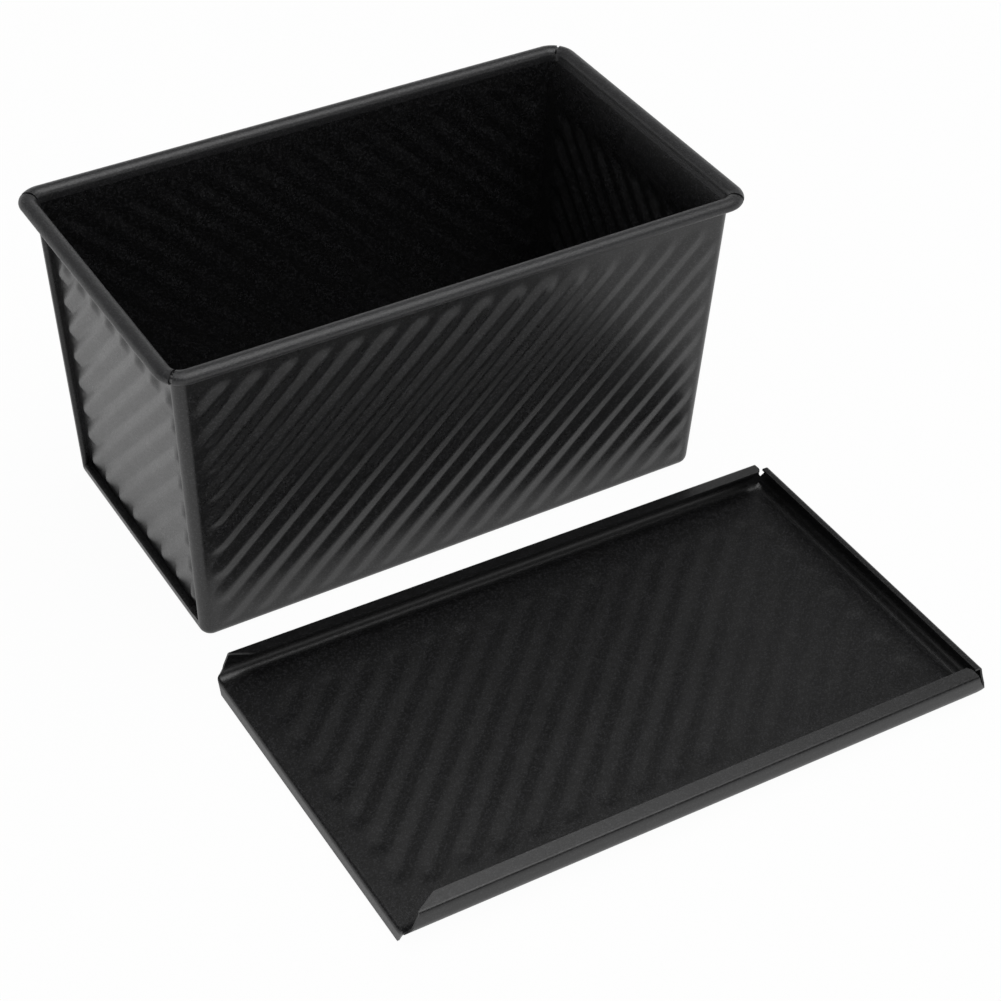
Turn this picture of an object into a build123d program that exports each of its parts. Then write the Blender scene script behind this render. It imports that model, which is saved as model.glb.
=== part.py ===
from build123d import *
import os
from math import asin, atan, degrees, sqrt

# A pullman loaf pan of ribbed steel sheet with its slide-on lid, in millimetres.
# The origin is at the centre of the pan's underside, X along the pan, Y to its back, Z up.
# The lid lies upside down on the floor in front of the pan, as it is put down after baking.

# Sheet and wire
sheet = 0.7
wire_diameter = 2.6
wire_clearance = 0.05

# Pan walls, measured outside the sheet at the height of the rim wire
pan_length = 198.0
pan_width = 108.8
wire_height = 110.0
end_draft = 5.2
side_draft = 4.0
corner_radius = 4.0
base_radius = 3.4

# Rolled rim
rim_flat = 1.6
rim_leg_gap = 0.4
seam_gap = 0.7

# Lap of the wrapper round each end, its edge turned in to meet the end panel
lap_width = 0.85
lap_top_gap = 0.3
panel_edge_gap = 0.05
joggle_height = 1.8

# How far the end panels lie behind the laps' outside, and up to which height
recess = 2.8
recess_top = 97.0

# Pressed ribs of the walls, at 45 degrees, pitch measured along a wall's edge
rib_pitch = 11.3
rib_phase = -2.5
end_rib_phase = -5.1
rib_height = 0.9
rib_base_width = 5.2
rib_crest_width = 2.2
rib_edge_margin = 5.0
rib_rim_margin = 5.5
rib_base_margin = 4.4
rib_shortest = 4.0

# Lid
lid_side_play = 1.2
lid_height_play = 3.5
lid_open_overhang = 0.7
lid_bend_radius = 4.2
lid_fold_radius = 1.0
lip_wall_gap = 1.7
lip_rise = 0.7
end_lip_width = 2.6
toe_depth = 4.0
toe_bend_radius = 1.2
lid_corner_cutback = 3.9
lid_corner_step = 3.2
flange_end_slant = 5.0
lip_end_slant = 7.0
lid_rib_pitch = 12.2
lid_rib_height = 0.5
lid_rib_base_width = 5.2
lid_rib_crest_width = 3.4
lid_rib_margin = 7.0

# Where the lid lies: its middle along the pan, and the floor left between the pan and the lid
lid_centre_x = 4.5
lid_gap = 12.0

# One overrun serves every cut
overrun = 2.0

# Sizes that follow from those above
rim_radius = wire_diameter / 2 + wire_clearance + sheet
rim_reach = 2 * rim_radius + rim_flat
rim_length = pan_length - 2 * sheet + 2 * rim_reach
rim_width = pan_width - 2 * sheet + 2 * rim_reach
corner_x = pan_length / 2 - corner_radius
corner_y = pan_width / 2 - corner_radius
lid_width = rim_width + 2 * sheet + 2 * lid_side_play
lid_length = rim_length + sheet + lid_open_overhang
lid_depth = 2 * rim_radius + lid_height_play + 2 * sheet
lip_width = (lid_width - pan_width) / 2 - lip_wall_gap
lid_centre_y = -(rim_width + lid_width) / 2 - lid_gap
lap_top = wire_height - joggle_height - lap_top_gap


def drafted_block(inset, floor):
    """The pan's outside form, moved in by inset, standing on the height floor."""
    radius = corner_radius - inset
    low_length = pan_length - 2 * end_draft - 2 * inset
    low_width = pan_width - 2 * side_draft - 2 * inset
    low = RectangleRounded(low_length, low_width, radius)
    high = RectangleRounded(pan_length - 2 * inset, pan_width - 2 * inset, radius)
    block = loft([low, Pos(0, 0, wire_height) * high], ruled=True)
    if floor > 0:
        slab = Pos(0, 0, floor / 2) * Box(2 * pan_length, 2 * pan_width, floor)
        block -= slab
    base_edges = block.faces().sort_by(Axis.Z)[0].edges()
    return fillet(base_edges, base_radius - inset)


def side_sector(half_x, half_y, reach):
    """Plan of the front and back sides, out to the mitres at the corners."""
    front = Polyline(
        (-half_x, -half_y), (-half_x - reach, -half_y - reach),
        (half_x + reach, -half_y - reach), (half_x, -half_y), close=True)
    half_plan = make_face(front)
    middle = Rectangle(2 * half_x, 2 * half_y)
    return half_plan + mirror(half_plan, about=Plane.XZ) + middle


def rim_section():
    """Rolled edge, drawn with X outwards from the wall's inner face and Y up from the wire."""
    centre = rim_radius + rim_flat / 2
    roll = Pos(centre, 0) * SlotCenterToCenter(rim_flat, 2 * rim_radius)
    hollow = Pos(centre, 0) * SlotCenterToCenter(rim_flat, 2 * (rim_radius - sheet))
    under = Pos(rim_radius / 2, -rim_radius / 2) * Rectangle(rim_radius, rim_radius)
    leg_start = sheet + rim_leg_gap
    leg_length = rim_radius + rim_flat - leg_start
    leg_middle = leg_start + leg_length / 2
    leg = Pos(leg_middle, sheet / 2 - rim_radius) * Rectangle(leg_length, sheet)
    return roll - hollow - under + leg


def rolled_edge(section, straight, inner_face):
    """A section run along X beside a wall that faces -Y, and halfway round both corners."""
    seam_radius = corner_radius - sheet + rim_reach / 2
    turn = 45 - degrees(atan(seam_gap / 2 / seam_radius))
    half = straight / 2
    upright = Plane((half, -inner_face, wire_height), x_dir=(0, -1, 0), z_dir=(-1, 0, 0))
    run = extrude(upright * section, straight)
    corner_axis = Axis((half, -inner_face + corner_radius - sheet, 0), (0, 0, 1))
    bend = revolve(upright * section, corner_axis, turn)
    return run + bend + mirror(bend, about=Plane.YZ)


def rib_lines(low_half, high_half, height, margins, pitch, phase):
    """Ends of the 45 degree ribs that fit a wall, in its own X along and Y up."""
    edge, low, high = margins
    lean = (high_half - low_half) / height
    count = int((height + 2 * high_half) / pitch) + 1
    runs = []
    for step in range(-count, count + 1):
        shift = step * pitch + phase
        # On the rib y = x - shift, and the wall's edge is at x = +-(low_half + lean * y)
        left = (-low_half + edge + lean * shift) / (1 + lean)
        right = (low_half - edge - lean * shift) / (1 - lean)
        start = max(left, low + shift)
        end = min(right, height - high + shift)
        if (end - start) * sqrt(2) > rib_shortest:
            runs.append(((start, start - shift), (end, end - shift)))
    return runs


def rib_bar(face, start, end, base, crest, bottom, top):
    """A bar of trapezoid section on the plane face, from level bottom to level top."""
    from_point = face.from_local_coords((start[0], start[1], 0))
    to_point = face.from_local_coords((end[0], end[1], 0))
    section_plane = Plane(from_point, x_dir=face.z_dir, z_dir=to_point - from_point)
    outline = Polyline(
        (bottom, -base / 2), (top, -crest / 2), (top, crest / 2), (bottom, base / 2), close=True)
    return extrude(section_plane * make_face(outline), (to_point - from_point).length)


def pressed_ribs(face, runs, height, base, crest):
    """Ridges outside the sheet and the hollows behind them. The face is the sheet's outside."""
    slope = (base - crest) / 2 / height
    side_step = sheet * sqrt(1 + slope * slope)
    bury = sheet / 4
    ridges, hollows = [], []
    for start, end in runs:
        ridges.append(rib_bar(face, start, end, base + 2 * slope * bury, crest, -bury, height))
        length = sqrt(2) * (end[0] - start[0])
        pull = sheet / length
        inner_start = (start[0] + pull * (end[0] - start[0]), start[1] + pull * (end[1] - start[1]))
        inner_end = (end[0] - pull * (end[0] - start[0]), end[1] - pull * (end[1] - start[1]))
        top = height - sheet
        bottom = -sheet - bury
        hollow_crest = base - 2 * slope * top - 2 * side_step
        hollow_base = base - 2 * slope * bottom - 2 * side_step
        hollows.append(rib_bar(face, inner_start, inner_end, hollow_base, hollow_crest, bottom, top))
    return ridges, hollows


def wall_face(low_distance, draft, side):
    """Outside of a drafted wall. side is the way it faces, as a unit vector in plan."""
    length = sqrt(draft * draft + wire_height * wire_height)
    outward = Vector(side[0] * wire_height / length, side[1] * wire_height / length, -draft / length)
    along = Vector(-side[1], side[0], 0)
    return Plane((side[0] * low_distance, side[1] * low_distance, 0), x_dir=along, z_dir=outward)


def lap_window(widening):
    """What the laps leave open at both ends, made wider all round by widening."""
    window_low = base_radius + lap_width - widening
    inset = corner_radius + lap_width - widening
    low_half = pan_width / 2 - side_draft + side_draft * window_low / wire_height - inset
    high_half = pan_width / 2 - inset
    window = make_face(Polyline(
        (-low_half, window_low), (low_half, window_low),
        (high_half, wire_height), (-high_half, wire_height), close=True))
    return extrude(Plane.YZ * window, pan_length, both=True)


def wrapper():
    """Front, base and back in one sheet, lapped round both ends, with two rolled edges."""
    inside = drafted_block(sheet, sheet)
    left_edge = inside & end_zone(recess, sheet) & lap_window(sheet)
    window = lap_window(0)
    shell = drafted_block(0, 0) - inside + left_edge + mirror(left_edge, about=Plane.YZ) - window
    # The laps stop under the end panels' rolled edges
    band_height = wire_height - lap_top
    sides = side_sector(corner_x, corner_y, rim_reach)
    band = Pos(0, 0, lap_top + band_height / 2) * Box(2 * rim_length, 2 * rim_width, band_height)
    band -= Pos(0, 0, lap_top) * extrude(sides, band_height)
    shell -= band
    edge = rolled_edge(rim_section(), 2 * corner_x, pan_width / 2 - sheet)
    body = shell + edge + mirror(edge, about=Plane.XZ)
    face = wall_face(pan_width / 2 - side_draft, side_draft, (0, -1))
    margins = (rib_edge_margin, rib_base_margin, rib_rim_margin + rim_radius)
    slant = sqrt(side_draft * side_draft + wire_height * wire_height)
    runs = rib_lines(
        pan_length / 2 - end_draft, pan_length / 2, slant, margins, rib_pitch, rib_phase)
    ridges, hollows = pressed_ribs(face, runs, rib_height, rib_base_width, rib_crest_width)
    turned = Rot(0, 0, 180)
    body = body + ridges + [turned * ridge for ridge in ridges]
    return body - hollows - [turned * hollow for hollow in hollows]


def end_zone(depth, top_depth):
    """What lies outside a face set back in the left end by depth, and by top_depth at its top."""
    foot = pan_length / 2 - end_draft
    lean = end_draft / wire_height
    outline = make_face(Polyline(
        (-pan_length, 0), (depth - foot, 0),
        (depth - foot - lean * recess_top, recess_top),
        (top_depth - foot - lean * lap_top, lap_top),
        (top_depth - foot - end_draft, wire_height), (-pan_length, wire_height), close=True))
    return extrude(Plane.XZ * outline, pan_width, both=True)


def end_panel():
    """The left end: a ribbed sheet set back in the wrapper, with its own rolled edge."""
    inner = sheet + panel_edge_gap
    panel = drafted_block(inner, inner) & (
        end_zone(recess + sheet, 2 * sheet) - end_zone(recess, sheet))
    neck = Pos(sheet / 2, -joggle_height / 2) * Rectangle(sheet, joggle_height)
    edge = rolled_edge(rim_section() + neck, 2 * corner_y, pan_length / 2 - sheet)
    joggle = Pos(sheet / 4, -joggle_height / 2) * Rectangle(sheet * 3 / 2, joggle_height)
    upright = Plane(
        (corner_y, sheet - pan_length / 2, wire_height), x_dir=(0, -1, 0), z_dir=(-1, 0, 0))
    edge += extrude(upright * joggle, 2 * corner_y)
    panel += Rot(0, 0, -90) * edge
    face = wall_face(pan_length / 2 - end_draft - recess, end_draft, (-1, 0))
    slant = sqrt(end_draft * end_draft + wire_height * wire_height)
    rib_corner = rib_base_width / 2 / sqrt(2) + lap_width + panel_edge_gap
    rib_top = (wire_height - recess_top) * slant / wire_height
    margins = (corner_radius + rib_corner, base_radius + rib_corner, rib_top + rib_corner)
    runs = rib_lines(
        pan_width / 2 - side_draft, pan_width / 2, slant, margins, rib_pitch, end_rib_phase)
    ridges, hollows = pressed_ribs(face, runs, rib_height, rib_base_width, rib_crest_width)
    return panel + ridges - hollows


def rim_wire():
    """One wire bent to a rectangle inside the rolled edges, its ends butted together."""
    wire_in = rim_reach - rim_radius - sheet
    half_length = pan_length / 2 + wire_in
    half_width = pan_width / 2 + wire_in
    bend = corner_radius + wire_in
    half = half_length - bend
    start = Plane((0, -half_width, wire_height), x_dir=(0, 1, 0), z_dir=(1, 0, 0))
    front = extrude(start * Circle(wire_diameter / 2), half, both=True)
    side_start = Plane((half_length, 0, wire_height), x_dir=(1, 0, 0), z_dir=(0, 1, 0))
    side = extrude(side_start * Circle(wire_diameter / 2), half_width - bend, both=True)
    corner_start = Plane((half, -half_width, wire_height), x_dir=(0, 1, 0), z_dir=(1, 0, 0))
    corner_axis = Axis((half, -half_width + bend, 0), (0, 0, 1))
    corner = revolve(corner_start * Circle(wire_diameter / 2), corner_axis, 90)
    ring = front + mirror(front, about=Plane.XZ) + side + mirror(side, about=Plane.YZ)
    right = corner + mirror(corner, about=Plane.XZ)
    return ring + right + mirror(right, about=Plane.YZ)


def channel_outline(half_span, rise_per_width, inset):
    """Outside of a folded channel seen end on, moved in by inset, closed over its middle."""
    edge = half_span - inset
    slope_step = inset * sqrt(1 + rise_per_width * rise_per_width)
    top = lid_depth + rise_per_width * inset - slope_step
    apex = lid_depth + rise_per_width * half_span - slope_step
    outline = make_face(Polyline(
        (-edge, inset), (edge, inset), (edge, top), (0, apex), (-edge, top), close=True))
    corners = outline.vertices().sort_by(Axis.Y)
    outline = fillet(corners[:2], lid_bend_radius - inset)
    sides = outline.vertices().filter_by(lambda corner: abs(abs(corner.X) - edge) < sheet / 10)
    folds = sides.group_by(Axis.Y)[-1]
    return fillet(folds, lid_fold_radius - inset)


def channel_section(half_span, lip, rise):
    """The folded sheet: panel, two flanges and their lips turned in."""
    rise_per_width = rise / lip
    section = channel_outline(half_span, rise_per_width, 0)
    section -= channel_outline(half_span, rise_per_width, sheet)
    mouth = 2 * (half_span - lip)
    opening_height = 4 * lid_depth
    return section - Pos(0, (lid_depth + opening_height) / 2) * Rectangle(mouth, opening_height)


def cut_prism(plane, points, depth):
    """A prism that cuts both ways from the plane."""
    return extrude(plane * make_face(Polyline(*points, close=True)), depth, both=True)


def lid_flat():
    """The lid lying upside down, its outer face on the plane of X and Y, closed end at +X."""
    half_x = lid_length / 2
    half_y = lid_width / 2
    run_end = half_x - lid_bend_radius
    side_end = half_y - lid_bend_radius
    start = Plane((-half_x, 0, 0), x_dir=(0, 1, 0), z_dir=(1, 0, 0))
    channel = extrude(start * channel_section(half_y, lip_width, lip_rise), lid_length)
    roof = lid_depth + lip_rise + overrun
    # Flanges and lips are cut on the slant at the open end and cut back at the closed one
    channel -= cut_prism(Plane.XZ, [
        (-half_x - overrun, sheet), (-half_x, sheet),
        (flange_end_slant - half_x, lid_depth), (flange_end_slant - half_x, roof),
        (-half_x - overrun, roof)], lid_width)
    lip_edge = half_y - lip_width
    lip_start = flange_end_slant - half_x
    for side in (-1, 1):
        corner = extrude(Plane.XY.offset(lid_depth / 2) * make_face(Polyline(
            (lip_start, side * (half_y - sheet)), (lip_start, side * (lip_edge - overrun)),
            (lip_start + lip_end_slant, side * (lip_edge - overrun)),
            (lip_start + lip_end_slant, side * lip_edge), close=True)), roof)
        channel -= corner
    # The closed end's flange, with its narrow lip, is mitred with the long ones at the corners
    reach = lid_bend_radius + overrun
    mitre = extrude(make_face(Polyline(
        (run_end, -side_end), (run_end + reach, -side_end - reach),
        (run_end + reach, side_end + reach), (run_end, side_end), close=True)), roof)
    end_profile = channel_section(half_x, end_lip_width, 0)
    end_flange = extrude(Plane.XZ * end_profile, half_y, both=True) & mitre
    channel = channel - mitre + end_flange
    # Above the bends the corners are open, wider towards the lips
    half_step = (roof - lid_corner_step) / 2
    for side in (-1, 1):
        along, across = [
            [(edge, lid_corner_step), (edge - sign * lid_corner_cutback * 2 / 3, roof - half_step),
             (edge - sign * lid_corner_cutback, roof), (edge + sign * overrun, roof),
             (edge + sign * overrun, lid_corner_step)]
            for edge, sign in ((half_x, 1), (side * half_y, side))]
        channel -= (
            cut_prism(Plane.XZ, along, lid_width) & cut_prism(Plane.YZ, across, lid_length))
    # The open end's toe, turned down to the floor
    channel -= Pos(toe_bend_radius / 2 - half_x, 0, 0) * Box(
        toe_bend_radius, 2 * side_end, 2 * sheet + overrun)
    bend_centre = Pos(toe_bend_radius - half_x, sheet - toe_bend_radius)
    quarter = Pos(-half_x, sheet) * Rectangle(2 * toe_bend_radius, 2 * toe_bend_radius)
    turn = bend_centre * (Circle(toe_bend_radius) - Circle(toe_bend_radius - sheet)) & quarter
    leg_height = toe_depth + sheet - toe_bend_radius
    leg = Pos(sheet / 2 - half_x, -toe_depth + leg_height / 2) * Rectangle(sheet, leg_height)
    toe = extrude(Plane.XZ * (turn + leg), side_end, both=True)
    face = Plane((-half_x, 0, 0), x_dir=(0, 1, 0), z_dir=(0, 0, -1))
    margins = (lid_bend_radius + lid_rib_margin, lid_rib_margin, lid_bend_radius + lid_rib_margin)
    runs = rib_lines(half_y, half_y, lid_length, margins, lid_rib_pitch, 0)
    ridges, hollows = pressed_ribs(
        face, runs, lid_rib_height, lid_rib_base_width, lid_rib_crest_width)
    return channel + toe + ridges - hollows


def lid():
    """The lid on the floor: its closed end and the toe of its open end touch down."""
    tilt = degrees(asin((toe_depth - lid_rib_height) / (lid_length - lid_bend_radius)))
    laid = Pos(lid_centre_x, lid_centre_y, 0) * Rot(0, tilt, 0) * lid_flat()
    return Pos(0, 0, -laid.bounding_box().min.Z) * laid


def build_parts():
    """Every piece by its name."""
    left = end_panel()
    return {
        "pan_wrapper": wrapper(),
        "left_end_panel": left,
        "right_end_panel": Rot(0, 0, 180) * left,
        "rim_wire": rim_wire(),
        "lid": lid(),
    }


os.makedirs("parts", exist_ok=True)
for name, piece in build_parts().items():
    piece.label = name
    export_step(piece, os.path.join("parts", name + ".step"))
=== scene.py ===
import math

import bmesh
import bpy
from mathutils import Matrix, Vector


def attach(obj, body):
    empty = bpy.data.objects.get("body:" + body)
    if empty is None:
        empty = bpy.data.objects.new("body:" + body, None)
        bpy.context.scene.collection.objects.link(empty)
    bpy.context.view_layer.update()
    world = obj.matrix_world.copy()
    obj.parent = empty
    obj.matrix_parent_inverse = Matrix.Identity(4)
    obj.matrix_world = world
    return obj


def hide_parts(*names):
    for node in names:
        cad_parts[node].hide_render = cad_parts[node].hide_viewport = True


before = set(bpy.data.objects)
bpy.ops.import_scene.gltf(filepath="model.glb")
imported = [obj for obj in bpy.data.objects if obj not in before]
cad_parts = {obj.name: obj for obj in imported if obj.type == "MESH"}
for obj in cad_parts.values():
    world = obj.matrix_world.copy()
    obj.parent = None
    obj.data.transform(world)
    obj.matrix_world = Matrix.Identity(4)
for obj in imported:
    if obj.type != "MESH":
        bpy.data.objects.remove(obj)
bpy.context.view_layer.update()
bpy.ops.object.select_all(action="DESELECT")

# Sizes of the pan as it is made, in millimetres and degrees
mm = 0.001
sheet = 0.7
half_length = 99.0
half_width = 54.4
wire_height = 110.0
end_draft = 5.2
side_draft = 4.0
corner_radius = 4.0
smallest_radius = 0.3
base_radius = 3.4
base_ring = 6.0
rim_radius = 2.05
rim_flat = 1.6
rim_leg_start = 1.1
seam_turn = 40.8
lap_width = 0.85
edge_bend = 0.95
edge_play = 0.1
lap_top = 107.9
wrapper_neck = 108.9
panel_neck = 109.4
wall_seam_turn = 48.0
recess = 2.8
recess_low = 96.0
panel_slant_power = 1.8
panel_rib_drop = 1.0
panel_gap = 0.05

# The ribs of the pan's walls
rib_pitch = 11.3
rib_phase = -2.26
end_rib_phase = -5.1
rib_height = 0.7
end_rib_height = 1.35
rib_taper = 6.0
rib_edge_margin = 4.2
rib_rim_margin = 7.6
rib_base_margin = 4.4
rib_shortest = 6.0
end_rib_edge_margin = 7.0
end_rib_base_margin = 6.4
cells_per_rib = 10
cell_clearance = 0.6
edge_clearance = 1.0

# How finely the sheets are divided, and what counts as one point
arc_step = 15
bend_step = 18
window_cells = 9
side_cells = 5
slant_cells = 14
weld_distance = 0.02
crease_angle = 38

# The lid
lid_half_length = 104.7
lid_half_width = 61.3
lid_depth = 9.0
lid_bend = 4.2
lid_fold = 1.0
lip_width = 5.2
lip_rise = 0.7
end_lip_width = 2.6
toe_depth = 4.0
toe_bend = 1.2
lid_rib_pitch = 12.2
lid_rib_height = 0.32
lid_stand = 0.5
lid_rib_end_margin = 11.0
lid_rib_margin = 7.0
lid_centre = (4.5, -132.7)
flange_end_slant = 5.0
lip_end_slant = 7.0
corner_cutback = 3.9
corner_step = 3.2
corner_power = 0.6

# On the flanges' path: the rows that the toe is folded with, and the row where the wall starts
toe_steps = 3
wall_step = 5
flange_cells = 3
# Columns over which the slants of the flanges' ends fade out
end_cells = 12

# The view, in degrees, metres and pixels of the photograph
camera_angles = (31.704, 39.483, 1.589)
camera_distance = 0.8949
camera_target = Vector((0.0472, 0, -0.0347))
sensor_width = 36
focal_pixels = 2438.005
frame_pixels = 1001

# The studio: floor in metres, strengths where 1 is white
floor_size = 8
white = (1, 1, 1, 1)
paper_colour = (0.8, 0.8, 0.8, 1)
white_to_camera = 0.97
white_to_reflection = 0.65
wall_rise = (0.12, 0.5)
ceiling_strength = 0.1
room_light = 0.35

# The coating's grains, clouds and skin. A noise is its scale and its detail
grain_scale = 2600
grain_range = (0.62, 0.98)
grain_share = 0.6
cloud_noise = (55, 4)
skin_noise = (1900, 3)
skin_strength = 0.14
skin_depth = 0.1
# Extra share of bright grains on the rolled edge: a painted highlight
rolled_painted_highlight = 0.4
rolled_dulling = 0.08
rolled_coarseness = 10.0
coating_ior = 1.55
# The lid has no rolled edge, so this is above all of it
no_rolled_edge = 1.0

wire_noise = (1400, 5)
wire_dark = (0.06, 0.06, 0.062, 1)
wire_light = (0.14, 0.14, 0.14, 1)
wire_gloss = (0.28, 0.5)


def select_all_in_edit(piece):
    """Enter edit mode on one piece with everything selected."""
    bpy.ops.object.select_all(action="DESELECT")
    piece.select_set(True)
    bpy.context.view_layer.objects.active = piece
    bpy.ops.object.mode_set(mode="EDIT")
    bpy.ops.mesh.select_all(action="SELECT")


def leave_edit():
    bpy.ops.object.mode_set(mode="OBJECT")


def blank(name, columns, rows):
    """A flat sheet of square cells, one unit each, with its first cell at the origin."""
    bpy.ops.object.select_all(action="DESELECT")
    bpy.ops.mesh.primitive_grid_add(x_subdivisions=columns, y_subdivisions=rows, size=1)
    piece = bpy.context.object
    piece.name = piece.data.name = name
    select_all_in_edit(piece)
    bpy.ops.transform.translate(value=(0.5, 0.5, 0))
    bpy.ops.transform.resize(value=(columns, rows, 1), center_override=(0, 0, 0))
    leave_edit()
    return piece


def cut_away(piece, wasted):
    """Cut the cells out of a flat sheet whose column and row are wasted."""
    select_all_in_edit(piece)
    mesh = bmesh.from_edit_mesh(piece.data)
    bpy.ops.mesh.select_all(action="DESELECT")
    bpy.ops.mesh.select_mode(type="FACE")
    for face in mesh.faces:
        centre = face.calc_center_median()
        face.select_set(wasted(int(centre.x), int(centre.y)))
    mesh.select_flush_mode()
    bmesh.update_edit_mesh(piece.data)
    bpy.ops.mesh.delete(type="FACE")
    bpy.ops.mesh.select_mode(type="VERT")
    leave_edit()


def press(piece, place):
    """Bend and press the flat sheet: every corner of its cells goes where place says."""
    for point in piece.data.vertices:
        point.co = Vector(place(round(point.co.x), round(point.co.y))) * mm
    piece.data.update()


def close_seams(piece, split):
    """Weld what meets, and split the cells along the ribs."""
    select_all_in_edit(piece)
    bpy.ops.mesh.remove_doubles(threshold=weld_distance * mm)
    bpy.ops.mesh.quads_convert_to_tris(quad_method=split, ngon_method="BEAUTY")
    leave_edit()


def apply_modifier(piece, kind, **settings):
    bpy.ops.object.select_all(action="DESELECT")
    piece.select_set(True)
    bpy.context.view_layer.objects.active = piece
    modifier = piece.modifiers.new(kind.title(), kind)
    for name, value in settings.items():
        setattr(modifier, name, value)
    bpy.ops.object.modifier_apply(modifier=modifier.name)


def thicken(piece):
    """Give the sheet its metal thickness, away from its good side, and shade its bends smooth."""
    apply_modifier(
        piece, "SOLIDIFY", thickness=sheet * mm, offset=-1, use_quality_normals=True)
    bpy.ops.object.shade_smooth_by_angle(angle=math.radians(crease_angle))


def smooth_step(value):
    value = min(max(value, 0.0), 1.0)
    return value * value * (3 - 2 * value)


def rib_ends(shift, low_half, high_half, height, margins):
    """Where the rib y = x - shift starts and ends on a wall, as x."""
    edge_left, edge_right, low, high = margins
    lean = (high_half - low_half) / height
    left = (edge_left - low_half + lean * shift) / (1 + lean)
    right = (low_half - edge_right - lean * shift) / (1 - lean)
    return max(left, low + shift), min(right, height - high + shift)


def rib_lift(along, up, pitch, phase, wall, margins):
    """Height of the pressed ribs at a place on a wall, from 0 between them to 1 on a crest."""
    shift = round((along - up - phase) / pitch) * pitch + phase
    start, end = rib_ends(shift, *wall, margins)
    if (end - start) * math.sqrt(2) < rib_shortest:
        return 0.0
    across = abs(along - up - shift) / math.sqrt(2)
    middle = (along + up + shift) / 2
    to_end = min(middle - start, end - middle) * math.sqrt(2)
    if to_end <= 0:
        return 0.0
    grown = min(to_end / rib_taper, 1.0)
    half_base = pitch / math.sqrt(2) / 2 * math.sqrt(grown)
    if across >= half_base:
        return 0.0
    return smooth_step(grown) * (1 - across / half_base)


def spread(low, high, cells):
    """Evenly spaced places from low to high."""
    return [low + (high - low) * step / cells for step in range(cells + 1)]


def wall_half(base_half, draft, height):
    """Half the pan's outside size at a height."""
    return base_half - draft * (1 - height / wire_height)


def rim_path():
    """The rolled edge's good side, from under it to the wall: (out, up) from the wire's height."""
    half = rim_radius + rim_flat / 2
    path = [(rim_leg_start, -rim_radius), ((rim_leg_start + half) / 2, -rim_radius)]
    for angle in range(-90, 181, arc_step):
        turn = math.radians(angle)
        path.append((half + half * math.cos(turn), rim_radius * math.sin(turn)))
    return path


rim_rows = rim_path()
rib_cell = rib_pitch / cells_per_rib
top_cell = int((lap_top - cell_clearance) / rib_cell)
low_cell = 4
arc_stops = spread(0, seam_turn, side_cells) + [wall_seam_turn] + spread(wall_seam_turn, 90, 4)[1:]


def wrapper_rows():
    """Rows of the wrapper below its rolled edge: (height, how far in from the walls)."""
    rows = [(wrapper_neck, 0), (lap_top, 0)]
    rows += [(cell * rib_cell, 0) for cell in range(top_cell, low_cell - 1, -1)]
    inner = base_radius - sheet
    for angle in range(0, 91, arc_step):
        turn = math.radians(angle)
        rows.append((base_radius - inner * math.sin(turn), inner * (1 - math.cos(turn))))
    rows.append((sheet, inner + base_ring))
    return rows


# The lowest row of cells above the base's rounding is where the turned-in edge starts
edge_row = len(rim_rows) + 2 + top_cell - low_cell


def whole_cells(base_half, draft):
    """How many whole cells fit from a wall's middle to its corner's bend at the base."""
    straight = wall_half(base_half, draft, base_radius) - corner_radius - edge_clearance
    return int(straight / rib_cell)


def wrapper_columns():
    """Columns round the pan from the middle of its left end: (kind, half of the pan, place)."""
    whole = whole_cells(half_length, end_draft)
    straight = [("edge_low", share) for share in spread(0, 1, side_cells)[:-1]]
    straight += [("cell", cell * rib_cell) for cell in range(-whole, whole + 1)]
    straight += [("edge_high", share) for share in spread(0, 1, side_cells)[1:]]
    window = [("window", share) for share in spread(0, 1, window_cells)]
    window += [("return", depth) for depth in (recess, (recess + sheet) / 2, edge_bend)]
    window.append(("lap", 0))
    arc = [("arc", stop) for stop in arc_stops[1:]]
    columns = []
    for half in (0, 1):
        columns += [(kind + "_in", half, value) for kind, value in window + arc[::-1]]
        columns += [(kind, half, value) for kind, value in straight]
        columns += [(kind + "_out", half, value) for kind, value in arc + window[:0:-1]]
    columns.append(("window_in", 0, 0))
    return columns, whole * rib_cell


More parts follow.
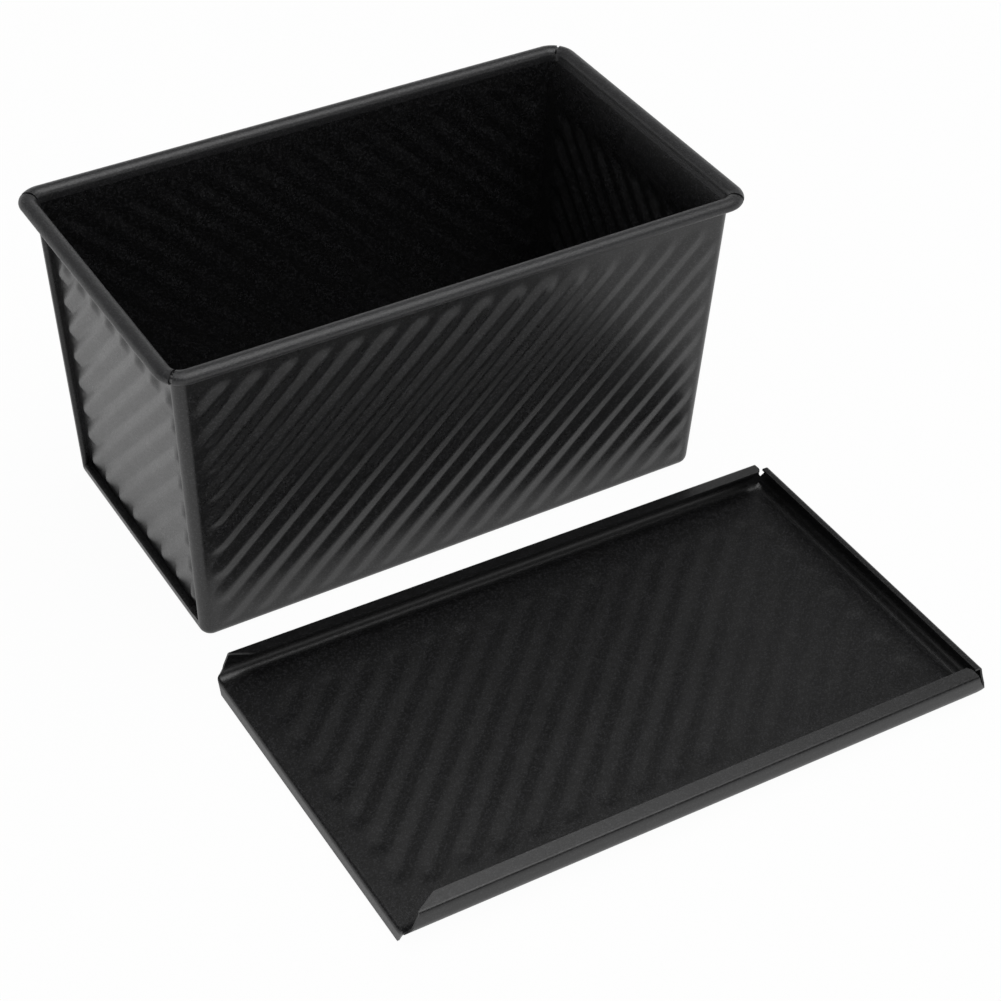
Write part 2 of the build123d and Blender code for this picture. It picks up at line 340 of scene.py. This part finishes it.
def wrapper_place(columns, whole_reach, rows):
    """A function that puts each corner of the wrapper's cells in its place, good side inwards."""
    wall = (half_length - end_draft, half_length, math.hypot(wire_height, side_draft))
    margins = (rib_edge_margin, rib_edge_margin, rib_base_margin, rib_rim_margin)
    low = rows[edge_row - len(rim_rows)][0]
    # The edge under the window is turned in like the laps at its sides
    depths = (0.0, edge_bend - sheet, (recess - sheet) / 2, recess - sheet)
    turned = {
        edge_row - step: (depth, low + (edge_play if step else 0.0))
        for step, depth in enumerate(depths)}

    def place(column, row):
        kind, half, share = columns[column]
        if row < len(rim_rows):
            out, up = rim_rows[row]
            height, inset, at = wire_height + up, -out, wire_height
        else:
            height, inset = rows[row - len(rim_rows)]
            at = min(height, wire_height)
        x_half = wall_half(half_length, end_draft, at) - sheet - inset
        y_half = wall_half(half_width, side_draft, at) - sheet - inset
        radius = max(corner_radius - sheet - inset, smallest_radius)
        x_end, y_end = x_half - radius, y_half - radius
        free_edge = y_end - lap_width + sheet
        x, y = x_half, free_edge
        if kind.startswith("window"):
            y = free_edge * share
            if row in turned:
                behind, height = turned[row]
                x -= behind
        elif kind.startswith("lap"):
            y = free_edge + (edge_play if row < edge_row else 0)
        elif kind.startswith("return"):
            deepest = end_depth(height) - sheet
            x -= max(min(share, deepest) - sheet, 0.0)
        elif kind.startswith("arc"):
            turn = math.radians(share)
            x = x_end + radius * math.sin(turn)
            y = y_end + radius * math.cos(turn)
        else:
            reach = min(whole_reach, x_end)
            x = share
            if kind == "edge_low":
                x = -x_end + (x_end - reach) * share
            elif kind == "edge_high":
                x = reach + (x_end - reach) * share
            y = y_half
            if inset == 0 and row >= len(rim_rows):
                lift = rib_lift(
                    x, height * wall[2] / wire_height, rib_pitch, rib_phase, wall, margins)
                y += rib_height * lift
        if kind.endswith("_in"):
            x = -x
        return (-x, y, height) if half else (x, -y, height)

    return place


def make_wrapper():
    """Front, base and back in one sheet, bent round both ends, its edges turned in."""
    columns, whole_reach = wrapper_columns()
    rows = wrapper_rows()
    piece = blank("wrapper_sheet", len(columns) - 1, len(rim_rows) + len(rows) - 1)

    def wasted(column, row):
        kinds = [columns[column][0].split("_")[0], columns[column + 1][0].split("_")[0]]
        turns = [stop[2] for stop in columns[column:column + 2] if stop[0].startswith("arc")]
        if "window" in kinds:
            return "return" in kinds or row < edge_row - 3
        if "return" in kinds:
            return row < len(rim_rows) + 1 or row >= edge_row
        if row < len(rim_rows) + 1:
            seam = seam_turn if row < len(rim_rows) - 1 else wall_seam_turn
            return "lap" in kinds or bool(turns) and max(turns) > seam + 0.01
        return False

    cut_away(piece, wasted)
    press(piece, wrapper_place(columns, whole_reach, rows))
    select_all_in_edit(piece)
    bpy.ops.mesh.remove_doubles(threshold=weld_distance * mm)
    bpy.ops.mesh.select_all(action="DESELECT")
    mesh = bmesh.from_edit_mesh(piece.data)
    for edge in mesh.edges:
        low = all(abs(end.co.z - sheet * mm) < weld_distance * mm for end in edge.verts)
        edge.select_set(low and edge.is_boundary)
    bmesh.update_edit_mesh(piece.data)
    bpy.ops.mesh.edge_face_add()
    leave_edit()
    close_seams(piece, "FIXED_ALTERNATE")
    thicken(piece)
    return piece


def end_depth(height):
    """How far the end panel's good side lies inside the pan's outside form, at a height."""
    deep = recess + sheet
    rise = min(max((height - recess_low) / (wire_height - recess_low), 0.0), 1.0)
    return deep - (deep - sheet) * rise ** panel_slant_power


def panel_limit(depth, y_half, height):
    """How far out the wrapper lets a sheet reach at a depth behind the end and a height."""
    inner = corner_radius - sheet - panel_gap
    bow = max(inner ** 2 - max(corner_radius - depth, 0.0) ** 2, 0.0)
    low = base_radius - sheet - panel_gap
    drop = min(max(base_radius - height, 0.0), low)
    return y_half - corner_radius + math.sqrt(bow) - low + math.sqrt(low ** 2 - drop ** 2)


def make_end_sheet(name):
    """The left end: a ribbed sheet set back in the wrapper, with its own rolled edge."""
    heights = spread(panel_neck, recess_low, slant_cells)
    highest = int((recess_low - cell_clearance) / rib_cell)
    heights += [cell * rib_cell for cell in range(highest, 1, -1)] + [sheet + panel_gap]
    whole = whole_cells(half_width, side_draft)
    side = [("seam", stop, 1) for stop in reversed(spread(0, seam_turn, side_cells))]
    side += [("edge", share, 1) for share in spread(0, 1, side_cells)[:-1]]
    other = [(kind, value, -1) for kind, value, _ in reversed(side)]
    cells = [("cell", -cell * rib_cell, 1) for cell in range(-whole, whole + 1)]
    columns = side + cells + other
    first_row = len(rim_rows)
    wall = (half_width - side_draft, half_width, math.hypot(wire_height, end_draft))
    margins = (
        end_rib_edge_margin, end_rib_edge_margin, end_rib_base_margin,
        wire_height - recess_low + panel_rib_drop)

    def wasted(column, row):
        kinds = {columns[column][0], columns[column + 1][0]}
        return kinds == {"seam", "edge"} or "seam" in kinds and row >= first_row + 1

    def place(column, row):
        kind, value, side = columns[column]
        if row < first_row:
            out, up = rim_rows[row]
            height, depth = wire_height + up, sheet - out
        else:
            height = heights[row - first_row]
            depth = end_depth(height)
        at = min(height, wire_height)
        x_half = wall_half(half_length, end_draft, at)
        y_half = wall_half(half_width, side_draft, at)
        if kind == "seam":
            turn = math.radians(value)
            reach = corner_radius - depth
            x = half_length - corner_radius + reach * math.cos(turn)
            return (-x, side * (half_width - corner_radius + reach * math.sin(turn)), height)
        y = value
        if kind == "edge":
            reach = whole * rib_cell
            limit = half_width - corner_radius
            if row >= first_row:
                limit = panel_limit(depth, y_half, height)
            y = side * (reach + (limit - reach) * (1 - value))
        x = x_half - depth
        if row >= first_row:
            slant = height * wall[2] / wire_height
            x += end_rib_height * rib_lift(
                -y, slant, rib_pitch, end_rib_phase, wall, margins)
        return (-x, y, height)

    piece = blank(name, len(columns) - 1, first_row + len(heights) - 1)
    cut_away(piece, wasted)
    press(piece, place)
    close_seams(piece, "FIXED_ALTERNATE")
    thicken(piece)
    return piece


def turned_copy(piece, name):
    """A copy with its own mesh, turned half round the pan's middle."""
    bpy.ops.object.select_all(action="DESELECT")
    piece.select_set(True)
    bpy.context.view_layer.objects.active = piece
    bpy.ops.object.duplicate()
    copy = bpy.context.object
    copy.name = copy.data.name = name
    copy.data.transform(Matrix.Rotation(math.pi, 4, "Z"))
    return copy


def lid_bend_path(half):
    """The rounding from the lid's panel up to a flange, on the good side: (reach, height)."""
    inner = lid_bend - sheet
    path = []
    for angle in range(0, 91, bend_step):
        turn = math.radians(angle)
        path.append((half - lid_bend + inner * math.sin(turn), lid_bend - inner * math.cos(turn)))
    return path


def lid_fold_path(half, height, last_angle, steps):
    """The fold from a flange into its lip, from the height where it starts."""
    fold = lid_fold - sheet
    path = []
    for angle in spread(0, last_angle, steps)[1:]:
        turn = math.radians(angle)
        path.append((half - lid_fold + fold * math.cos(turn), height + fold * math.sin(turn)))
    return path


def lid_side_path():
    """The lid's good side from its panel up a long flange to its lip, which rises inwards."""
    slope = lip_rise / lip_width
    fold_height = lid_depth + slope * lid_fold - lid_fold * math.hypot(1, slope)
    path = lid_bend_path(lid_half_width)
    wall = lid_half_width - sheet
    path += [(wall, height) for height in spread(lid_bend, fold_height, flange_cells)[1:]]
    path += lid_fold_path(lid_half_width, fold_height, 90 + math.degrees(math.atan(slope)), 4)
    edge = lid_half_width - lip_width
    start, start_height = path[-1]
    path += [
        (start + (edge - start) * share, start_height + (start - edge) * slope * share)
        for share in spread(0, 1, 4)[1:]]
    return path


def lid_end_path():
    """The same at the closed end, where the lip is narrow and level."""
    fold_height = lid_depth - lid_fold
    path = lid_bend_path(lid_half_length)
    wall = lid_half_length - sheet
    path += [(wall, height) for height in spread(lid_bend, fold_height, flange_cells)[1:]]
    path += lid_fold_path(lid_half_length, fold_height, 90, 3)
    edge = lid_half_length - end_lip_width
    start, start_height = path[-1]
    path += [(start + (edge - start) * share, start_height) for share in spread(0, 1, 2)[1:]]
    return path


def lid_toe_path():
    """The open end's toe from its lower edge up to the panel: (from the lid's end, height)."""
    path = [(0.0, -toe_depth), (0.0, -toe_depth / 2)]
    for angle in range(0, 91, bend_step):
        turn = math.radians(angle)
        path.append((
            toe_bend * (1 - math.cos(turn)), sheet - toe_bend + toe_bend * math.sin(turn)))
    return path


def make_lid():
    """The slide-on lid, lying upside down with its good side up."""
    cell = lid_rib_pitch / cells_per_rib
    side_path, end_path, toe_path = lid_side_path(), lid_end_path(), lid_toe_path()
    run_start, run_end = toe_bend - lid_half_length, lid_half_length - lid_bend
    side_end = lid_half_width - lid_bend
    long_cells = int((run_end - run_start) / cell)
    wide_cells = 2 * int(side_end / cell)
    columns = [("toe", index) for index in range(len(toe_path) - 1)]
    columns += [("run", index) for index in range(long_cells + 1)]
    columns += [("end", index) for index in range(len(end_path))]
    rows = [("side", index, -1) for index in reversed(range(len(side_path)))]
    rows += [("panel", index, 0) for index in range(wide_cells + 1)]
    rows += [("side", index, 1) for index in range(len(side_path))]
    wall = (side_end, side_end, 2 * lid_half_length)

    def wasted(column, row):
        if rows[row][0] == "panel" or rows[row + 1][0] == "panel":
            return False
        if columns[column + 1][0] == "end":
            return True
        return columns[column][0] == "toe" and max(rows[row][1], rows[row + 1][1]) > toe_steps

    def corner_cut(rise):
        """How far the flanges' ends stand back from the corner at a height."""
        share = max((rise - corner_step) / (lid_depth - corner_step), 0.0)
        return corner_cutback * share ** corner_power

    def place(column, row):
        kind, index = columns[column]
        part, step, side = rows[row]
        if kind == "toe":
            x, z = toe_path[index]
            x -= lid_half_length
        elif kind == "run":
            x = run_start + index * (run_end - run_start) / long_cells
            z = sheet
        else:
            x, z = end_path[index]
        if part == "panel":
            y = (step - wide_cells / 2) * cell
            if kind == "run":
                margins = (
                    lid_rib_end_margin, lid_rib_end_margin, lid_rib_margin,
                    lid_bend + lid_rib_margin)
                z -= lid_rib_height * rib_lift(
                    y, x + lid_half_length, lid_rib_pitch, 0, wall, margins)
            return (x, y, z)
        y, rise = side_path[step]
        if kind == "toe":
            share = (z + toe_depth) / (sheet + toe_depth)
            y = side_end + (y - side_end) * share
            return (x, side * y, z + (rise - sheet) * share)
        if kind == "end":
            # The closed end's flange widens into the mitre and then stands back from it
            y = side_end + x - run_end
            if index >= wall_step:
                y = lid_half_width - max(sheet, min(corner_cut(z), corner_cutback))
            return (x, side * y, z)
        start, stop = run_start, run_end + y - side_end
        if step > toe_steps:
            start += (flange_end_slant - toe_bend) * min(rise / lid_depth, 1.0)
        if step >= wall_step:
            stop = lid_half_length - max(sheet, corner_cut(rise), lid_half_width - y)
        if rise > lid_depth - lid_fold / 2:
            start += lip_end_slant * max(0.0, (lid_half_width - lid_fold - y) / (lip_width - lid_fold))
        if index < end_cells:
            x = start + (run_start + end_cells * cell - start) * index / end_cells
        elif index > long_cells - end_cells:
            last = run_end - end_cells * cell
            x = last + (stop - last) * (index - long_cells + end_cells) / end_cells
        return (x, side * y, rise)

    piece = blank("lid_sheet", len(columns) - 1, len(rows) - 1)
    cut_away(piece, wasted)
    press(piece, place)
    close_seams(piece, "FIXED")
    thicken(piece)
    tilt = math.asin((toe_depth - lid_stand) / (2 * lid_half_length - lid_bend))
    laid = Matrix.Rotation(tilt, 4, "Y")
    piece.data.transform(laid)
    lowest = min(point.co.z for point in piece.data.vertices)
    piece.data.transform(Matrix.Translation((lid_centre[0] * mm, lid_centre[1] * mm, -lowest)))
    return piece


def feed(tree, node, inputs):
    """Give a node's inputs, by name or place, their values or other nodes' outputs."""
    for key, value in inputs.items():
        if isinstance(value, bpy.types.NodeSocket):
            tree.links.new(value, node.inputs[key])
        else:
            node.inputs[key].default_value = value
    return node


def maths(tree, operation, *values):
    """The result of one sum whose terms are numbers or other nodes' outputs."""
    node = tree.nodes.new("ShaderNodeMath")
    node.operation = operation
    return feed(tree, node, dict(enumerate(values))).outputs["Value"]


def remap(tree, inputs):
    """A value moved from one range to another."""
    return feed(tree, tree.nodes.new("ShaderNodeMapRange"), inputs).outputs["Result"]


def noise(tree, place, scale, detail):
    node = tree.nodes.new("ShaderNodeTexNoise")
    return feed(tree, node, {"Vector": place, "Scale": scale, "Detail": detail}).outputs["Fac"]


def coating_group():
    """Satin coating: a dark ground with fine bright grains, and a skin that is never quite even.

    It is duller and coarser on a rolled edge, which lies above a height, and has more bright grains
    there as a painted highlight."""
    tree = bpy.data.node_groups.new("satin_coating", "ShaderNodeTree")
    for way, kind, labels in (
            ("INPUT", "NodeSocketColor", ("Ground", "Grain")),
            ("INPUT", "NodeSocketFloat", ("Grain size", "Gloss low", "Gloss high", "Rolled from")),
            ("OUTPUT", "NodeSocketColor", ("Color",)),
            ("OUTPUT", "NodeSocketFloat", ("Roughness", "Height"))):
        for label in labels:
            tree.interface.new_socket(label, in_out=way, socket_type=kind)
    entry = tree.nodes.new("NodeGroupInput").outputs
    place = tree.nodes.new("ShaderNodeTexCoord").outputs["Object"]
    split = feed(tree, tree.nodes.new("ShaderNodeSeparateXYZ"), {"Vector": place})
    rolled = maths(tree, "GREATER_THAN", split.outputs["Z"], entry["Rolled from"])

    flecks = feed(tree, tree.nodes.new("ShaderNodeTexVoronoi"), {
        "Vector": place, "Scale": entry["Grain size"]})
    tone = feed(tree, tree.nodes.new("ShaderNodeSeparateColor"), {
        "Color": flecks.outputs["Color"]}).outputs
    bright = remap(tree, {
        "Value": tone["Red"], "From Min": grain_range[0], "From Max": grain_range[1]})
    # On the rolled edge the bright grains' share is raised: a painted highlight
    colour = tree.nodes.new("ShaderNodeMix")
    colour.data_type = "RGBA"
    feed(tree, colour, {
        "Factor": maths(tree, "MULTIPLY_ADD", rolled, rolled_painted_highlight, bright),
        "A": entry["Ground"], "B": entry["Grain"]})

    clouds = maths(tree, "MULTIPLY", noise(tree, place, *cloud_noise), 1 - grain_share)
    gloss = remap(tree, {
        "Value": maths(tree, "MULTIPLY_ADD", tone["Green"], grain_share, clouds),
        "To Min": entry["Gloss low"], "To Max": entry["Gloss high"]})
    coarseness = maths(tree, "MULTIPLY_ADD", rolled, rolled_coarseness, 1.0)
    feed(tree, tree.nodes.new("NodeGroupOutput"), {
        "Color": colour.outputs["Result"],
        "Roughness": maths(tree, "MULTIPLY_ADD", rolled, rolled_dulling, gloss),
        "Height": maths(tree, "MULTIPLY", noise(tree, place, *skin_noise), coarseness)})
    return tree


def new_material(name):
    """An empty material, its tree and its shader."""
    material = bpy.data.materials.new(name)
    material.use_nodes = True
    return material, material.node_tree, material.node_tree.nodes["Principled BSDF"]


def coating(name, group, ground, grain, gloss, rolled_from):
    """A sheet's coating. Its edge is rolled above the height rolled_from, in metres."""
    material, tree, shader = new_material(name)
    coat = tree.nodes.new("ShaderNodeGroup")
    coat.node_tree = group
    feed(tree, coat, {
        "Ground": ground, "Grain": grain, "Grain size": grain_scale,
        "Gloss low": gloss[0], "Gloss high": gloss[1], "Rolled from": rolled_from})
    relief = feed(tree, tree.nodes.new("ShaderNodeBump"), {
        "Strength": skin_strength, "Distance": skin_depth * mm, "Height": coat.outputs["Height"]})
    feed(tree, shader, {
        "Base Color": coat.outputs["Color"], "Roughness": coat.outputs["Roughness"],
        "Normal": relief.outputs["Normal"], "IOR": coating_ior})
    return material


def wire_steel():
    """Dark drawn wire, with fine variation in its tone and shine."""
    material, tree, shader = new_material("rim_wire_steel")
    grain = noise(tree, tree.nodes.new("ShaderNodeTexCoord").outputs["Object"], *wire_noise)
    tone = feed(tree, tree.nodes.new("ShaderNodeValToRGB"), {"Fac": grain})
    tone.color_ramp.elements[0].color = wire_dark
    tone.color_ramp.elements[1].color = wire_light
    shine = remap(tree, {"Value": grain, "To Min": wire_gloss[0], "To Max": wire_gloss[1]})
    feed(tree, shader, {"Metallic": 1.0, "Base Color": tone.outputs["Color"], "Roughness": shine})
    return material


def mixed(tree, share, low, high):
    """Two shaders, the second by its share."""
    node = tree.nodes.new("ShaderNodeMixShader")
    return feed(tree, node, {"Fac": share, 1: low, 2: high}).outputs["Shader"]


def reflected_rays(tree, path):
    """1 for what a reflection or a clear material sees."""
    return maths(tree, "MAXIMUM", path["Is Glossy Ray"], path["Is Transmission Ray"])


def paper_floor():
    """A pale floor. It glows white to the camera and in reflections, and keeps a faint shadow."""
    bpy.ops.mesh.primitive_plane_add(size=floor_size, location=(0, 0, 0))
    floor = bpy.context.object
    floor.name = floor.data.name = "studio_floor"
    material, tree, _ = new_material("studio_paper")
    tree.nodes.clear()
    path = tree.nodes.new("ShaderNodeLightPath").outputs
    by_camera = maths(tree, "MULTIPLY", path["Is Camera Ray"], white_to_camera)
    by_reflection = maths(tree, "MULTIPLY", reflected_rays(tree, path), white_to_reflection)
    paper = feed(tree, tree.nodes.new("ShaderNodeBsdfDiffuse"), {"Color": paper_colour})
    glow = feed(tree, tree.nodes.new("ShaderNodeEmission"), {"Color": white, "Strength": 1.0})
    surface = mixed(
        tree, maths(tree, "MAXIMUM", by_camera, by_reflection), paper.outputs["BSDF"],
        glow.outputs["Emission"])
    feed(tree, tree.nodes.new("ShaderNodeOutputMaterial"), {"Surface": surface})
    floor.data.materials.append(material)


def backdrop(tree, strength):
    """A white background at a strength."""
    node = tree.nodes.new("ShaderNodeBackground")
    return feed(tree, node, {"Color": white, "Strength": strength}).outputs["Background"]


def studio_world():
    """A white room to the camera; in reflections white low down and dim above."""
    world = bpy.data.worlds.new("studio")
    bpy.context.scene.world = world
    world.use_nodes = True
    tree = world.node_tree
    tree.nodes.clear()
    path = tree.nodes.new("ShaderNodeLightPath").outputs
    sky = tree.nodes.new("ShaderNodeTexCoord").outputs["Generated"]
    split = feed(tree, tree.nodes.new("ShaderNodeSeparateXYZ"), {"Vector": sky})
    fade = tree.nodes.new("ShaderNodeMapRange")
    fade.interpolation_type = "SMOOTHSTEP"
    feed(tree, fade, {
        "Value": split.outputs["Z"], "From Min": wall_rise[0], "From Max": wall_rise[1],
        "To Min": 1.0, "To Max": ceiling_strength})
    unseen = mixed(
        tree, reflected_rays(tree, path), backdrop(tree, room_light),
        backdrop(tree, fade.outputs["Result"]))
    room = mixed(tree, path["Is Camera Ray"], unseen, backdrop(tree, 1.0))
    feed(tree, tree.nodes.new("ShaderNodeOutputWorld"), {"Surface": room})


def softbox(name, place, aim, size, radiance):
    """A rectangular lamp that faces a point. Its radiance is what a mirror would show."""
    lamp = bpy.data.lights.new(name, "AREA")
    lamp.shape = "RECTANGLE"
    lamp.size, lamp.size_y = size
    lamp.energy = radiance * math.pi * size[0] * size[1]
    holder = bpy.data.objects.new(name, lamp)
    bpy.context.scene.collection.objects.link(holder)
    holder.location = place
    holder.rotation_euler = (Vector(aim) - Vector(place)).to_track_quat("-Z", "Y").to_euler()


def place_camera():
    """The photograph's view: from the left of the front, well above the rim."""
    azimuth, elevation, roll = (math.radians(angle) for angle in camera_angles)
    towards = Vector((
        -math.sin(azimuth) * math.cos(elevation), -math.cos(azimuth) * math.cos(elevation),
        math.sin(elevation)))
    level = (-towards).cross(Vector((0, 0, 1))).normalized()
    upright = level.cross(-towards)
    across = level * math.cos(roll) + upright * math.sin(roll)
    up = upright * math.cos(roll) - level * math.sin(roll)
    lens = bpy.data.cameras.new("camera")
    lens.sensor_width = sensor_width
    lens.lens = focal_pixels / frame_pixels * sensor_width
    lens.clip_start = 0.01
    holder = bpy.data.objects.new("camera", lens)
    bpy.context.scene.collection.objects.link(holder)
    turn = Matrix((across, up, towards)).transposed().to_4x4()
    holder.matrix_world = Matrix.Translation(camera_target + towards * camera_distance) @ turn
    bpy.context.scene.camera = holder


place_camera()
paper_floor()
studio_world()
softbox(
    "overhead_softbox", place=(0.2, -0.2, 1.3), aim=(0, -0.1, 0), size=(1.3, 1.0), radiance=2.6)
bpy.context.scene.view_settings.view_transform = "Standard"

satin = coating_group()
pan_coating = coating(
    "pan_satin_black", satin, ground=(0.0052, 0.0052, 0.0055, 1),
    grain=(0.034, 0.034, 0.036, 1), gloss=(0.24, 0.4), rolled_from=lap_top * mm)
lid_coating = coating(
    "lid_satin_black", satin, ground=(0.004, 0.004, 0.0042, 1),
    grain=(0.022, 0.022, 0.0235, 1), gloss=(0.26, 0.42), rolled_from=no_rolled_edge)

wrapper_sheet = make_wrapper()
left_end_sheet = make_end_sheet("left_end_sheet")
right_end_sheet = turned_copy(left_end_sheet, "right_end_sheet")
lid_sheet = make_lid()

for piece, node, body, slot, material in (
        (wrapper_sheet, "pan_wrapper", "pan", "pan_coating", pan_coating),
        (left_end_sheet, "left_end_panel", "pan", "pan_coating", pan_coating),
        (right_end_sheet, "right_end_panel", "pan", "pan_coating", pan_coating),
        (lid_sheet, "lid", "lid", "lid_coating", lid_coating)):
    piece.data.materials.clear()
    piece.data.materials.append(material)
    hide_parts(node)
    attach(piece, body)

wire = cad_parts["rim_wire"]
wire.data.materials.clear()
wire.data.materials.append(wire_steel())
